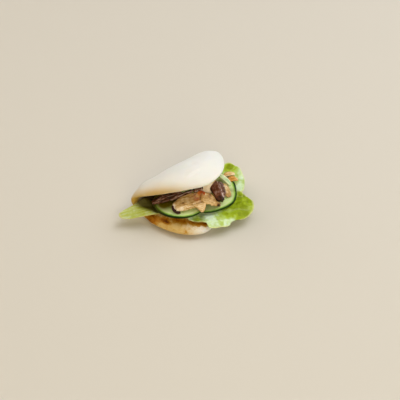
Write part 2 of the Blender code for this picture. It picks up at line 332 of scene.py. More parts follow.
bun = new_piece("bun_dough", merged_copy("bun"))
subdivide(bun, DOUGH_LEVELS)
smooth_heel(bun)
sculpt(bun, dough_relief)
paint(bun, "toast_and_shade", toast_and_shade)
paint(bun, "warmth_and_shade", warmth_and_shade)
paint(bun, "painted_shade", painted_shade)
finish_piece(bun, "bun", steamed_dough())


# Lettuce: torn pieces of soft butterhead leaf, thin and ruffled, almost white by the rib and
# bright green at the edge. Veins fan out from the leaf's base, and the blade swells up between
# them.
LEAF_LEVELS = 3
VEIN_WOBBLE = 7.0
RIM_RAGGED = 0.7
RIGHT_SLICE_MIDDLE = Vector((23.8, -5.2))
RIGHT_SLICE_REACH = 24.0
LEFT_YELLOW = 0.35


def leaf_copy(name, node):
    """A finer copy of a leaf that knows how near each point is to its torn edge."""
    bm = merged_copy(node)
    edge = bm.verts.layers.float.new("rim")
    for face in bm.faces:
        if abs(face.normal.z) < 0.6:
            for vert in face.verts:
                vert[edge] = 1.0
    leaf = new_piece(name, bm)
    subdivide(leaf, LEAF_LEVELS)
    return leaf


def vein_heights(place, base, veins):
    """Closeness, from 0 to 1, to a main vein and to a side vein of those that fan out from base."""
    ray = Vector((place.x - base[0], place.y - base[1]))
    wobble = 0.35 * noise.noise(Vector((place.x, place.y, 0.0)) / VEIN_WOBBLE)
    phase = veins * (math.atan2(ray.y, ray.x) / math.pi) + wobble
    return (1.0 - abs(math.sin(math.pi * phase)),
            1.0 - abs(math.sin(math.pi * (2.3 * phase + 0.5))))


def leaf_relief(base, veins, swell, open_air, pulls):
    """The blade's swelling between its veins, the same on both its faces."""

    def offset(place, normal):
        level = Vector((place.x, place.y, 0.0))
        main, side = vein_heights(place, base, veins)
        pucker = 0.5 + 0.5 * noise.noise(level / 8.0)
        dimples = 0.5 + 0.5 * noise.noise(level / 2.8)
        height = swell * (1.1 * pucker + 0.45 * dimples - 0.35 * main**4 - 0.12 * side**4)
        ragged = RIM_RAGGED * noise.noise(level / 2.6)
        free = open_air(place)
        pulled = Vector((0.0, 0.0, 0.0))
        for centre, width, move in pulls:
            pulled += Vector(move) * math.exp(-((place - Vector(centre)).length / width) ** 2)
        return pulled + Vector((0.5 * ragged * free, 0.5 * ragged * free, height * free))

    return offset


def vein_paint(base, veins):
    def amount(place, normal):
        main, side = vein_heights(place, base, veins)
        return min(1.0, main**6 + 0.4 * side**8)

    return amount


def lettuce_leaf():
    """A fresh leaf has a waxy satin skin over wet tissue that scatters light."""
    leaf = new_material("lettuce leaf")
    place = add_node(leaf, "TexCoord").outputs["Object"]
    green = add_node(leaf, "Attribute", attribute_name="green").outputs["Fac"]
    vein = add_node(leaf, "Attribute", attribute_name="vein").outputs["Fac"]
    rim = add_node(leaf, "Attribute", attribute_name="rim").outputs["Fac"]
    mottle = add_node(leaf, "TexNoise", {"Vector": place, "Scale": 240.0, "Detail": 4.0})
    shift = add_node(leaf, "Math", {0: mottle.outputs["Fac"], 1: 0.7, 2: -0.35},
                     operation="MULTIPLY_ADD")
    amount = add_node(leaf, "Math", {0: green, 1: shift.outputs[0]}, operation="ADD")
    blade = add_node(leaf, "ValToRGB", {"Fac": amount.outputs[0]},
                     stops=((0.0, "#daf2d4"), (1.0, "#84980c"), (0.3, "#b8d478"),
                            (0.6, "#a8c23a"), (0.8, "#9eb61e")))
    vein_share = add_node(leaf, "Math", {0: vein, 1: 0.25}, operation="MULTIPLY")
    veined = add_node(leaf, "Mix", {0: vein_share.outputs[0], 6: blade.outputs["Color"],
                                    7: linear("#dcebb0")}, data_type="RGBA")
    # The torn rim is painted paler: a painted highlight where it catches the light.
    rim_share = add_node(leaf, "MapRange", {"Value": rim, "From Min": 0.55, "From Max": 0.95,
                                            "To Max": 0.7})
    rim_highlighted = add_node(leaf, "Mix", {0: rim_share.outputs[0], 6: veined.outputs[2],
                                   7: linear("#e0e6a4")}, data_type="RGBA")
    # Painted shade, where the leaf runs in under the lid and beside the slices.
    wet = add_node(leaf, "Attribute", attribute_name="painted_shade").outputs["Fac"]
    yellow = add_node(leaf, "Attribute", attribute_name="yellow").outputs["Fac"]
    aged = add_node(leaf, "Mix", {0: yellow, 6: rim_highlighted.outputs[2], 7: linear("#b8a03c")},
                    data_type="RGBA")
    darkened = add_node(leaf, "Mix", {0: wet, 6: aged.outputs[2], 7: linear("#2e2202")},
                       data_type="RGBA")
    fine = add_node(leaf, "TexNoise", {"Vector": place, "Scale": 900.0, "Detail": 3.0})
    crinkle = add_node(leaf, "TexNoise", {"Vector": place, "Scale": 330.0, "Detail": 2.0})
    crinkled = add_node(leaf, "Bump", {"Height": crinkle.outputs["Fac"], "Strength": 0.7,
                                       "Distance": 0.9 * MM})
    bump = add_node(leaf, "Bump", {"Height": fine.outputs["Fac"], "Strength": 0.35,
                                   "Distance": 0.2 * MM, "Normal": crinkled.outputs["Normal"]})
    add_node(leaf, SHADER, {
        "Base Color": darkened.outputs[2], "Roughness": 0.4, "IOR": 1.45,
        "Specular IOR Level": 0.3, "Specular Tint": linear("#f6f2a8"),
        "Subsurface Weight": 0.15, "Subsurface Radius": (0.9, 1.0, 0.3),
        "Subsurface Scale": 0.8 * MM, "Normal": bump.outputs["Normal"],
    })
    return leaf


def past_the_bun_left(place):
    return ease(-38.0, -46.0, place.x)


def past_the_cucumber(place):
    reach = (place.xy - RIGHT_SLICE_MIDDLE).length
    return ease(RIGHT_SLICE_REACH, RIGHT_SLICE_REACH + 6.0, reach)


def unmarked(place, normal):
    return 0.0


def left_yellowed(place, normal):
    return LEFT_YELLOW


FRONT_PULLS = (((55.5, -17.5, 14.0), 6.0, (-2.7, -1.9, 0.0)),
               ((-4.0, -25.0, 13.0), 6.0, (-1.4, -2.6, -0.5)),
               ((15.0, -39.0, 10.5), 8.0, (-0.7, -1.7, -0.2)),
               ((38.5, -40.0, 12.0), 7.0, (-0.4, -1.5, 0.0)))
# Greener far in under the lid and paler at the tip; the two paler spots by the bun are partly the
# leaf's rib and partly a painted highlight along its lower edge.
LEFT_GREEN_AND_HIGHLIGHT_SPOTS = ((-35.0, 17.0, 18.0, 12.0, 0.45), (-62.0, 16.0, 11.0, 8.0, -0.3),
              (-41.0, 5.5, 11.8, 3.0, -0.5), (-36.0, 3.5, 12.0, 3.0, -0.5))
# The paler spot by the right slice's near edge is painted light, where the slice shades the leaf.
FRONT_GREEN_AND_LIGHT_SPOTS = ((18.4, -33.5, 13.1, 5.0, 0.50), (27.0, -30.0, 13.1, 6.0, 0.32),
               (50.0, -8.5, 15.1, 3.5, -0.7), (14.0, -39.0, 12.0, 2.5, 0.2),
               (0.0, -24.5, 13.0, 3.6, 0.30), (-5.0, -25.5, 13.0, 4.0, 0.45),
               (20.0, -37.0, 12.0, 3.5, -0.4), (26.0, -35.0, 12.0, 3.5, 0.2),
               (-11.0, -21.5, 13.5, 2.5, -0.6), (7.5, -28.0, 13.5, 4.0, -0.3),
               (40.0, -36.0, 12.0, 7.0, 0.18))
BACK_SPOTS = ((59.5, 21.5, 18.0, 5.2, 0.95), (54.0, 22.0, 18.0, 5.0, 0.3),
              (50.0, 20.0, 18.0, 7.0, 0.12), (54.8, -3.0, 14.1, 4.0, -0.3),
              (53.0, 0.0, 16.0, 3.0, 0.25))
# Spots of painted shade on the leaves, beside and under the cucumber slices.
LEFT_SHADE_SPOTS = ((-33.0, 3.0, 14.0, 3.4, 0.6),)
FRONT_SHADE_SPOTS = ((-5.0, -25.0, 13.0, 3.0, 0.5), (0.5, -26.5, 13.0, 3.0, 0.4),
               (5.0, -23.0, 14.0, 2.4, 0.25), (1.5, -22.9, 13.9, 2.0, 0.5))


def left_painted_shade(place, normal):
    """How dark the left leaf is painted: painted shade where it runs in under the lid, and under
    the left slice's edge.
    """
    under_the_lid = ease(-36.5, -28.5, place.x + 0.816 * place.y)
    return min(0.95, under_the_lid + spots_near(place, LEFT_SHADE_SPOTS))


# Painted shade on the front leaf, beside the slices.
def front_painted_shade(place, normal):
    return min(1.0, spots_near(place, FRONT_SHADE_SPOTS))


def left_green(place, normal):
    """How green the leaf is, from its pale rib at 0 to its edge at 1: here in fine streaks."""
    across = place.y + 0.3 * place.x
    streaks = (noise.noise(Vector((place.x / 18.0, across / 1.6, 0.0)))
               + 0.8 * noise.noise(Vector((place.x / 14.0, across / 0.7, 5.0))))
    return 0.42 + 0.45 * streaks + spots_near(place, LEFT_GREEN_AND_HIGHLIGHT_SPOTS)


def front_green(place, normal):
    along = place.x + 0.15 * (place.y + 30.0)
    along -= 14.0 * ease(-35.0, -40.0, place.y) * ease(34.0, 24.0, place.x)
    outward = 0.8 * ease(14.0, 40.0, along)
    blotches = 0.24 * noise.noise(place / 5.0) + 0.16 * noise.noise(place / 2.2)
    return 0.08 + outward + blotches + spots_near(place, FRONT_GREEN_AND_LIGHT_SPOTS)


def back_green(place, normal):
    blotches = 0.12 * noise.noise(place / 5.0)
    return 0.16 + blotches + spots_near(place, BACK_SPOTS)


lettuce = lettuce_leaf()
for name, node, base, veins, swell, open_air, pulls, green, leaf_painted_shade, yellowed in (
    ("lettuce_left_leaf", "lettuce_left", (20.0, 2.0), 46.0, 0.6, past_the_bun_left, (),
     left_green, left_painted_shade, left_yellowed),
    ("lettuce_front_leaf", "lettuce_front", (-12.0, -16.0), 11.0, 1.2, past_the_cucumber,
     FRONT_PULLS, front_green, front_painted_shade, unmarked),
    ("lettuce_back_leaf", "lettuce_back", (26.0, -4.0), 11.0, 1.0, past_the_cucumber, (),
     back_green, unmarked, unmarked),
):
    leaf = leaf_copy(name, node)
    paint(leaf, "vein", vein_paint(base, veins))
    paint(leaf, "green", green)
    paint(leaf, "painted_shade", leaf_painted_shade)
    paint(leaf, "yellow", yellowed)
    sculpt(leaf, leaf_relief(base, veins, swell, open_air, pulls))
    finish_piece(leaf, node, lettuce)


# Cucumber: two slices of a slender unpeeled cucumber, cut slantwise so that they are oval. The
# skin is thin, waxy and nearly black green, the flesh is pale and wet, and the three seed
# chambers in the middle are clearer, with flat cream seeds.
CUCUMBER_HALF = 1.5
CUCUMBER_STEPS = 120
SKIN_START = 0.955
SEEDS_IN_LOBE = 8
# Colour of sauce stains and painted shade on the cucumber.
STAIN_AND_SHADE_COLOUR = "#605400"
SEED_SIZE = (2.5, 1.1, 0.45)
# Sauce stains with painted shade, darkest where the slices lie under the strips, the slab, the cap
# and the lid.
STAINS_AND_SHADE = (
    (-27.0, 2.0, 18.8, 6.5, 0.7), (-20.0, 4.0, 19.0, 8.0, 0.9), (-8.0, 0.0, 20.0, 8.0, 0.9),
    (-26.0, 14.0, 18.8, 8.0, 1.0), (-16.0, 14.0, 19.5, 8.0, 1.0), (42.6, -10.3, 19.0, 3.5, 0.50),
    (5.0, -13.0, 20.5, 7.0, 0.7), (39.0, 8.0, 19.2, 6.0, 0.85), (30.0, 2.0, 18.5, 6.0, 0.6),
    (38.2, -16.2, 19.0, 3.0, 0.25),
)


def cucumber_flesh():
    """Cut cucumber is wet and clear enough for light to spread in it; its skin is waxy."""
    flesh = new_material("cucumber")
    place = add_node(flesh, "TexCoord").outputs["Object"]
    radius = add_node(flesh, "Attribute", attribute_name="radius").outputs["Fac"]
    mottle = add_node(flesh, "TexNoise", {"Vector": place, "Scale": 300.0, "Detail": 3.0})
    shift = add_node(flesh, "Math", {0: mottle.outputs["Fac"], 1: 0.06, 2: -0.03},
                     operation="MULTIPLY_ADD")
    spread = add_node(flesh, "Math", {0: radius, 1: shift.outputs[0]}, operation="ADD")
    rings = add_node(flesh, "ValToRGB", {"Fac": spread.outputs[0]}, stops=(
        (0.0, "#d3da94"), (1.0, "#0c2406"), (0.30, "#bfd070"), (0.52, "#c4d67c"),
        (0.60, "#cfe6a2"), (0.84, "#d8ecae"), (0.90, "#b4d874"), (0.94, "#689c34"),
        (0.962, "#1c440e"),
    ))
    tone = add_node(flesh, "MapRange", {"Value": mottle.outputs["Fac"], "To Min": 0.88,
                                        "To Max": 1.1})
    toned = add_node(flesh, "Mix", {0: 1.0, 6: rings.outputs["Color"], 7: tone.outputs[0]},
                     data_type="RGBA", blend_type="MULTIPLY")
    # Sauce stains and painted shade beside and under the mushrooms.
    stain_and_shade = add_node(flesh, "Attribute", attribute_name="stain_and_shade").outputs["Fac"]
    darkened = add_node(flesh, "Mix", {0: stain_and_shade, 6: toned.outputs[2], 7: linear(STAIN_AND_SHADE_COLOUR)},
                       data_type="RGBA")
    fine = add_node(flesh, "TexNoise", {"Vector": place, "Scale": 800.0, "Detail": 3.0})
    bump = add_node(flesh, "Bump", {"Height": fine.outputs["Fac"], "Strength": 0.3,
                                    "Distance": 0.15 * MM})
    add_node(flesh, SHADER, {
        "Base Color": darkened.outputs[2], "Roughness": 0.3, "IOR": 1.36,
        "Specular IOR Level": 0.35, "Specular Tint": linear("#e8f8b4"),
        "Subsurface Weight": 0.25, "Subsurface Radius": (0.7, 1.0, 0.3),
        "Subsurface Scale": 1.5 * MM, "Normal": bump.outputs["Normal"],
    })
    return flesh


def cucumber_seed():
    """The seeds are soft, flat and cream coloured, under a wet film."""
    seed = new_material("cucumber seed")
    # Sauce stains and painted shade, as on the flesh.
    stain_and_shade = add_node(seed, "Attribute", attribute_name="stain_and_shade").outputs["Fac"]
    darkened = add_node(seed, "Mix", {0: stain_and_shade, 6: linear("#d8dc9c"), 7: linear(STAIN_AND_SHADE_COLOUR)},
                       data_type="RGBA")
    add_node(seed, SHADER, {
        "Base Color": darkened.outputs[2], "Roughness": 0.25, "IOR": 1.4,
        "Subsurface Weight": 0.2, "Subsurface Scale": 0.6 * MM,
    })
    return seed


def slice_profile():
    """Half of the slice's section, from the middle of its underside to the middle of its top."""
    radii = [0.0, 0.1, 0.2, 0.3, 0.4, 0.5, 0.56, 0.62, 0.7, 0.78, 0.86, 0.92, SKIN_START]
    low = [(r * 0.98, -CUCUMBER_HALF) for r in radii]
    skin = [(0.965, -1.4), (0.978, -1.1), (0.991, 0.0), (0.999, 1.1), (0.985, 1.4)]
    return low + skin + [(r, CUCUMBER_HALF) for r in reversed(radii)]


def cucumber_slice(name, node, semi_axes, placing, slant, bulges, materials):
    """An oval slice. Its wall slants, because the cucumber was cut at an angle."""
    bm = bmesh.new()
    line = [bm.verts.new((r, 0.0, z)) for r, z in slice_profile()]
    edges = [bm.edges.new(pair) for pair in zip(line, line[1:])]
    bmesh.ops.spin(bm, geom=line + edges, cent=(0, 0, 0), axis=(0, 0, 1),
                   angle=2.0 * math.pi, steps=CUCUMBER_STEPS, use_merge=True)
    bmesh.ops.remove_doubles(bm, verts=bm.verts, dist=0.0001)
    bmesh.ops.recalc_face_normals(bm, faces=bm.faces)
    bmesh.ops.scale(bm, vec=(*semi_axes, 1.0), verts=bm.verts)
    for lobe in range(3):
        for number in range(SEEDS_IN_LOBE):
            angle = math.radians(120.0 * lobe + 18.0 + 12.0 * number)
            reach = 0.30 + 0.17 * ((number * 5) % 8) / 7.0
            seed = bmesh.ops.create_icosphere(bm, subdivisions=2, radius=0.5)["verts"]
            bmesh.ops.scale(bm, vec=SEED_SIZE, verts=seed)
            bmesh.ops.rotate(bm, verts=seed, cent=(0, 0, 0), matrix=Matrix.Rotation(angle, 3, "Z"))
            middle = (reach * semi_axes[0] * math.cos(angle),
                      reach * semi_axes[1] * math.sin(angle), CUCUMBER_HALF - 0.02)
            bmesh.ops.translate(bm, vec=middle, verts=seed)
            for vert in seed:
                for face in vert.link_faces:
                    face.material_index = 1
    piece = new_piece(name, bm)
    paint(piece, "radius",
          lambda own, normal: math.hypot(own.x / semi_axes[0], own.y / semi_axes[1]))
    for vert in piece.data.vertices:
        own = vert.co / MM
        own.x += slant * (CUCUMBER_HALF - own.z) / (2.0 * CUCUMBER_HALF)
        place = placing @ own
        for centre, width, move in bulges:
            place += Vector(move) * math.exp(-((place - Vector(centre)).length / width) ** 2)
        vert.co = place * MM
    piece.data.update()
    paint(piece, "stain_and_shade", lambda place, normal: min(1.0, spots_near(place, STAINS_AND_SHADE)))
    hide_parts(node)
    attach(piece, "root")
    for material in materials:
        piece.data.materials.append(material)


def tilted(centre, heading, tilt, tilt_heading):
    """Places a flat slice: turned to its heading, then tipped up towards the other heading."""
    uphill = Matrix.Rotation(math.radians(tilt_heading), 4, "Z")
    tipping = uphill @ Matrix.Rotation(math.radians(-tilt), 4, "Y") @ uphill.inverted()
    turning = Matrix.Rotation(math.radians(heading), 4, "Z")
    return Matrix.Translation(centre) @ tipping @ turning


RIGHT_BULGES = (((33.8, -22.8, 18.5), 12.0, (1.5, -2.0, 0.0)),
                ((48.5, -7.5, 18.5), 8.0, (-0.9, 0.3, 0.0)))
cucumber_finishes = (cucumber_flesh(), cucumber_seed())
cucumber_slice("cucumber_right_slice", "cucumber_right", (28.0, 20.8),
               tilted((23.75, -5.15, 17.0), 24.0, 2.6, 0.0), 2.2, RIGHT_BULGES,
               cucumber_finishes)
cucumber_slice("cucumber_left_slice", "cucumber_left", (26.4, 20.2),
               tilted((-10.45, -1.75, 18.5), -48.0, 4.5, -12.0), -2.0, (), cucumber_finishes)


# Mushroom: thick slices of a large brown mushroom, fried and glazed with a sweet dark sauce. The
# flesh is tan and fibrous, browned on top and cream where it was cut. The skin is dark brown,
# shrunken and wet.
MUSHROOM_LEVELS = 3
FLESH_RELIEF = (0.45, 0.3)
UP = Vector((0.0, 0.0, 1.0))


def piece_frame(start, end, roll=0.0):
    """Matrix from the part's frame to the piece's own: x from start to end, y across, z up."""
    onward = (Vector(end) - Vector(start)).normalized()
    side = UP.cross(onward).normalized()
    side = Matrix.Rotation(math.radians(roll), 3, onward) @ side
    return Matrix((onward, side, onward.cross(side))).to_4x4() @ Matrix.Translation(-Vector(start))


def reshape(piece, to_own, shape):
    """Moves each point of the mesh to shape(own), where own is the point in the piece's frame."""
    from_own = to_own.inverted()
    for vert in piece.data.vertices:
        vert.co = (from_own @ shape(to_own @ (vert.co / MM))) * MM
    piece.data.update()


def paint_own(piece, to_own):
    """Stores each point's place in the piece's frame, in millimetres, for the fibres."""
    layer = piece.data.attributes.new("own", "FLOAT_VECTOR", "POINT")
    places = [to_own @ (vert.co / MM) for vert in piece.data.vertices]
    layer.data.foreach_set("vector", [value for place in places for value in place])


def fibrous(to_own, lump, fibre):
    """Relief of cooked mushroom: soft lumps, and fibres that run along the piece."""

    def offset(place, normal):
        own = to_own @ place
        lumps = lump * noise.noise(place / 4.2) + 0.4 * lump * noise.noise(place / 1.8)
        fibres = fibre * noise.noise(Vector((own.x / 9.0, own.y / 1.9, own.z / 1.9)))
        return normal * (lumps + fibres)

    return offset


def wrinkled(depth, width):
    """Relief of shrunken skin: creases where a noise passes through zero."""

    def offset(place, normal):
        crease = 1.0 - min(1.0, 4.0 * abs(noise.noise(place / width)))
        lumps = noise.noise(place / (0.8 * width))
        return normal * (depth * (0.9 * lumps - crease))

    return offset


def mushroom_finish(name, stops, sauce_colour, fibre_share, gloss, creased=0.0, tint="#ffe6bc"):
    """Fried mushroom: its tone varies along the fibres, under a thin glaze where it is wet."""
    finish = new_material(name)
    own = add_node(finish, "Attribute", attribute_name="own").outputs["Vector"]
    tone = add_node(finish, "Attribute", attribute_name="tone").outputs["Fac"]
    sauce = add_node(finish, "Attribute", attribute_name="sauce").outputs["Fac"]
    wet = add_node(finish, "Attribute", attribute_name="wet").outputs["Fac"]
    drawn = add_node(finish, "Mapping", {"Vector": own, "Scale": (0.14, 1.1, 1.1)})
    fibres = add_node(finish, "TexNoise", {"Vector": drawn.outputs[0], "Scale": 1.0,
                                           "Detail": 5.0, "Roughness": 0.65})
    patches = add_node(finish, "TexNoise", {"Vector": own, "Scale": 0.32, "Detail": 3.0})
    both = add_node(finish, "Mix", {0: 1.0 - fibre_share, 2: fibres.outputs["Fac"],
                                    3: patches.outputs["Fac"]}, data_type="FLOAT")
    change = add_node(finish, "Math", {0: both.outputs[0], 1: 1.5, 2: -0.75},
                      operation="MULTIPLY_ADD")
    toned = add_node(finish, "Math", {0: change.outputs[0], 1: tone}, operation="ADD")
    plain = add_node(finish, "ValToRGB", {"Fac": toned.outputs[0]}, stops=stops)
    colour = add_node(finish, "Mix", {0: sauce, 6: plain.outputs["Color"],
                                      7: linear(sauce_colour)}, data_type="RGBA")
    dull = add_node(finish, "MapRange", {"Value": wet, "To Min": 0.55, "To Max": gloss})
    place = add_node(finish, "TexCoord").outputs["Object"]
    shrunken = add_node(finish, "TexNoise", {"Vector": place, "Scale": 360.0, "Detail": 2.0})
    crease = add_node(finish, "Bump", {"Height": shrunken.outputs["Fac"], "Strength": creased,
                                       "Distance": 1.2 * MM})
    bump = add_node(finish, "Bump", {"Height": fibres.outputs["Fac"], "Strength": 0.5,
                                     "Distance": 0.35 * MM, "Normal": crease.outputs["Normal"]})
    add_node(finish, SHADER, {
        "Base Color": colour.outputs[2], "Roughness": dull.outputs[0], "IOR": 1.42,
        "Specular IOR Level": 0.35, "Specular Tint": linear(tint),
        "Coat Weight": wet, "Coat Roughness": 0.15,
        "Normal": bump.outputs["Normal"], "Coat Normal": bump.outputs["Normal"],
    })
    return finish


def mushroom_piece(node, finish, line, tone, sauce=(), wet=0.5, roll=0.0, shape=None,
                   relief=FLESH_RELIEF):
    """One piece from its CAD node: reshaped in its own frame, given its relief and painted.

    The relief is a function, or the heights in millimetres of the lumps and the fibres.
    """
    to_own = piece_frame(*line, roll)
    piece = new_piece(node + "_piece", merged_copy(node))
    subdivide(piece, MUSHROOM_LEVELS)
    if shape:
        reshape(piece, to_own, shape)
    paint_own(piece, to_own)
    sculpt(piece, relief if callable(relief) else fibrous(to_own, *relief))
    paint(piece, "tone", tone)
    paint(piece, "sauce", lambda place, normal: min(1.0, spots_near(place, sauce)))
    paint(piece, "wet", wet if callable(wet) else lambda place, normal: wet)
    finish_piece(piece, node, finish)


def tone_by_side(base, front, top, spots=()):
    """Tone of a piece that is paler or darker in front and on top, with spots of its own."""

    def tone(place, normal):
        facing = front * max(0.0, -normal.y) + top * max(0.0, normal.z)
        return base + facing + spots_near(place, spots)

    return tone


FLESH_STOPS = ((0.0, "#241008"), (1.05, "#f8e8d0"), (0.2, "#6b431f"), (0.4, "#a3753c"),
               (0.6, "#c8a060"), (0.8, "#e6c896"))
SKIN_STOPS = ((0.05, "#0b0402"), (1.0, "#ccb6b0"), (0.3, "#2e1406"), (0.55, "#663416"),
              (0.8, "#9a7768"))
RED_STOPS = ((0.0, "#862808"), (1.0, "#dcac74"), (0.25, "#b4440c"), (0.5, "#c8641c"),
             (0.75, "#cc8440"))
flesh = mushroom_finish("glazed mushroom flesh", FLESH_STOPS, "#b04c18", 0.6, 0.22)
skin = mushroom_finish("glazed mushroom skin", SKIN_STOPS, "#4a1608", 0.5, 0.16, 0.6, "#ffe8d8")
glaze = mushroom_finish("red glaze", RED_STOPS, "#b8400e", 0.3, 0.12)


SLAB_LINE = ((-21.0, -8.4, 22.9), (8.6, -12.0, 25.6))
SLAB_FRAME = piece_frame(*SLAB_LINE)
# The bright spot at the slab's left end is a painted highlight; the others make the flesh darker or
# paler in places.
SLAB_SPOTS_AND_HIGHLIGHT = (
    (-11.8, -11.2, 27.4, 0.9, -0.6), (-19.8, -8.1, 24.0, 1.6, 0.9), (1.5, -13.0, 28.0, 2.2, 0.28),
    (3.5, -9.8, 28.4, 2.2, 0.2), (-15.5, -6.0, 26.0, 3.0, -0.08), (-3.0, -5.0, 27.5, 3.0, -0.10),
    (4.0, -17.0, 26.5, 3.0, 0.2), (-7.0, -10.0, 27.4, 4.0, 0.16), (0.5, -14.5, 28.0, 2.0, -0.22),
)
SLAB_SAUCE = ((4.0, -11.0, 28.6, 4.0, 0.9), (1.5, -15.0, 27.8, 2.8, 0.5))


def slab_shape(own):
    """A slab with a flat top and crisp edges; its right end leans out over the heap."""
    right = ease(10.0, 30.0, own.x)
    top = ease(-1.0, 2.0, own.z)
    own.z = max(-3.2, min(own.z * 1.25, 3.0)) + 0.8 * ease(3.0, 12.0, own.x) * top
    own.z -= 1.4 * right * (1.0 - top)
    own.y += 1.6 * ease(0.0, 6.0, own.y) * ease(2.0, 12.0, own.x)
    own.y -= 0.9 * ease(0.0, -6.0, own.y)
    own.x += 2.6 * ease(22.0, 30.0, own.x) + 0.6 * ease(4.0, 0.0, own.x)
    return own


def slab_tone(place, normal):
    """Brown on top and paler cream on the cut face in front, most at its left end, with a painted
    highlight at that end.
    """
    own = SLAB_FRAME @ place
    front = ease(0.30, 0.62, -0.47 * normal.x - 0.88 * normal.y)
    face = 0.26 + 0.18 * ease(18.0, 2.0, own.x) + 0.35 * noise.noise(place / 1.4)
    streaks = (0.12 * noise.noise(Vector((own.x / 9.0, own.y / 1.4, 0.0)))
               + 0.12 * noise.noise(place / 2.6))
    return 0.61 + streaks + (face - 0.17) * front + spots_near(place, SLAB_SPOTS_AND_HIGHLIGHT)


mushroom_piece("mushroom_slab", flesh, SLAB_LINE, slab_tone,
               sauce=SLAB_SAUCE, wet=0.35, shape=slab_shape)

WEDGE_LINE = ((-5.0, -18.2, 26.3), (4.8, -26.4, 23.9))
WEDGE_SPOTS = ((-5.0, -20.5, 25.0, 1.5, -0.5), (-2.4, -22.8, 24.5, 1.3, -0.5),
               (0.5, -25.0, 23.6, 1.3, -0.4))


def wedge_shape(own):
    """A triangle: narrow where it leans on the slab, broad where it lies on the cucumber."""
    share = own.x / 13.0
    own.y = own.y * (0.15 + 1.0 * share) + 0.3 + 1.1 * share
    own.x = own.x * 1.08 - 1.8
    own.z = own.z * 0.8 + 1.3
    return own


mushroom_piece("mushroom_wedge", flesh, WEDGE_LINE,
               tone_by_side(0.54, 0.05, 0.18, WEDGE_SPOTS), wet=0.3, roll=25.0,
               shape=wedge_shape, relief=(0.15, 0.15))

TONGUE_LINE = ((9.2, -15.6, 27.6), (22.6, -23.0, 18.9))
# The tip is the tongue's own dark red-brown; some darker spots by the cap are partly painted shade
# where the cap crowds it.
TONGUE_SPOTS_AND_SHADE = (
    (19.2, -25.0, 21.4, 1.9, -1.1), (20.5, -22.4, 23.0, 1.6, 0.2),
    (15.5, -13.5, 28.0, 2.2, -0.25), (17.0, -20.0, 25.5, 1.3, -0.25),
    (9.5, -12.5, 28.5, 2.8, 0.3), (12.5, -20.5, 26.0, 1.5, 0.2), (14.0, -18.0, 27.0, 1.0, -0.3),
)
TONGUE_SAUCE = ((7.0, -10.8, 29.2, 3.2, 1.0), (5.5, -14.5, 28.0, 2.0, 0.3))


def tongue_shape(own):
    """The tongue's near edge is frilled, and its start lies against the slab."""
    frill = ease(-3.0, -6.0, own.y)
    own.z += 0.35 * frill * math.sin(2.0 * math.pi * own.x / 4.6)
    own.y -= 0.45 * frill * math.cos(2.0 * math.pi * own.x / 3.7)
    own.x -= 4.8 * ease(7.0, 0.0, own.x)
    own.y += 1.2 * ease(0.0, 6.0, own.y)
    return own


mushroom_piece("mushroom_tongue", flesh, TONGUE_LINE,
               tone_by_side(0.45, 0.20, 0.10, TONGUE_SPOTS_AND_SHADE), sauce=TONGUE_SAUCE, wet=0.3,
               shape=tongue_shape, relief=(0.25, 0.25))

REAR_LINE = ((11.8, -7.4, 23.1), (26.4, 16.2, 24.9))
REAR_FRAME = piece_frame(*REAR_LINE)


def rear_shape(own):
    """The side towards the cap is broader and reaches it, and the piece rises inwards."""
    own.y *= 1.75 if own.y < 0.0 else 1.0
    own.z += 2.6 * ease(1.0, 11.0, own.x)
    return own


def rear_tone(place, normal):
    """Cream where it was cut, and painted paler still as painted light under the lid's shade;
    browned along its edges, darker further in and underneath.
    """
    own = REAR_FRAME @ place
    browned = 0.35 * ease(3.0, 6.5, abs(own.y)) * ease(7.0, 13.0, own.x)
    return (1.30 - browned - 0.30 * ease(9.0, 19.0, own.x) - 0.4 * ease(0.6, -1.2, own.z)
            + 0.16 * noise.noise(Vector((own.x / 6.0, own.y / 1.3, 0.0))))


mushroom_piece("mushroom_rear", flesh, REAR_LINE, rear_tone, wet=0.1,
               shape=rear_shape, relief=(0.7, 0.35))

CAP_ROLL = -15.0
CAP_LINE = ((30.0, -0.2, 27.1), (24.2, -21.6, 23.1))
CAP_FRAME = piece_frame(*CAP_LINE, CAP_ROLL)
CAP_GLINTS = ((28.2, -19.6, 26.2, 2.2, 0.65), (26.6, -20.4, 25.2, 1.6, 0.25),
              (28.1, -17.6, 28.6, 1.6, 0.2))
CAP_SAUCE = ((22.0, -7.0, 30.0, 6.0, 0.35),)


def cap_shape(own):
    """Two facets: a steep flat one on the left and a wrinkled one that slopes to the right."""
    corner = math.exp(-((own.x - 10.0) / 5.0) ** 2)
    own.y *= 1.0 + (0.32 * corner if own.y < 0.0 else 0.08)
    own.y += 1.5 * ease(7.0, 0.0, own.x)
    own.y -= 0.25 * max(0.0, own.y) * ease(12.0, 20.0, own.x)
    own.x += 1.8 * ease(15.0, 22.0, own.x)
    own.y -= 0.9 * ease(16.0, 22.0, own.x)
    if own.z > 0.0:
        across = own.y / 7.3
        left, right = max(0.0, -0.1 - across), max(0.0, across + 0.1)
        tent = 4.6 - 4.2 * left - 2.6 * right
        own.z += 0.75 * (max(0.3, tent) - own.z) * ease(0.0, 1.6, own.z)
    return own


def cap_relief(place, normal):
    """The left facet is nearly smooth, and the right one is lumpy and creased."""
    own = CAP_FRAME @ place
    rough = ease(-1.5, 1.0, own.y)
    crease = 1.0 - min(1.0, 4.0 * abs(noise.noise(place / 3.6)))
    lumps = noise.noise(Vector((own.x / 3.6, own.y / 1.9, own.z / 2.2)))
    return normal * (0.15 * noise.noise(place / 3.0) + rough * (0.8 * lumps - 0.55 * crease))


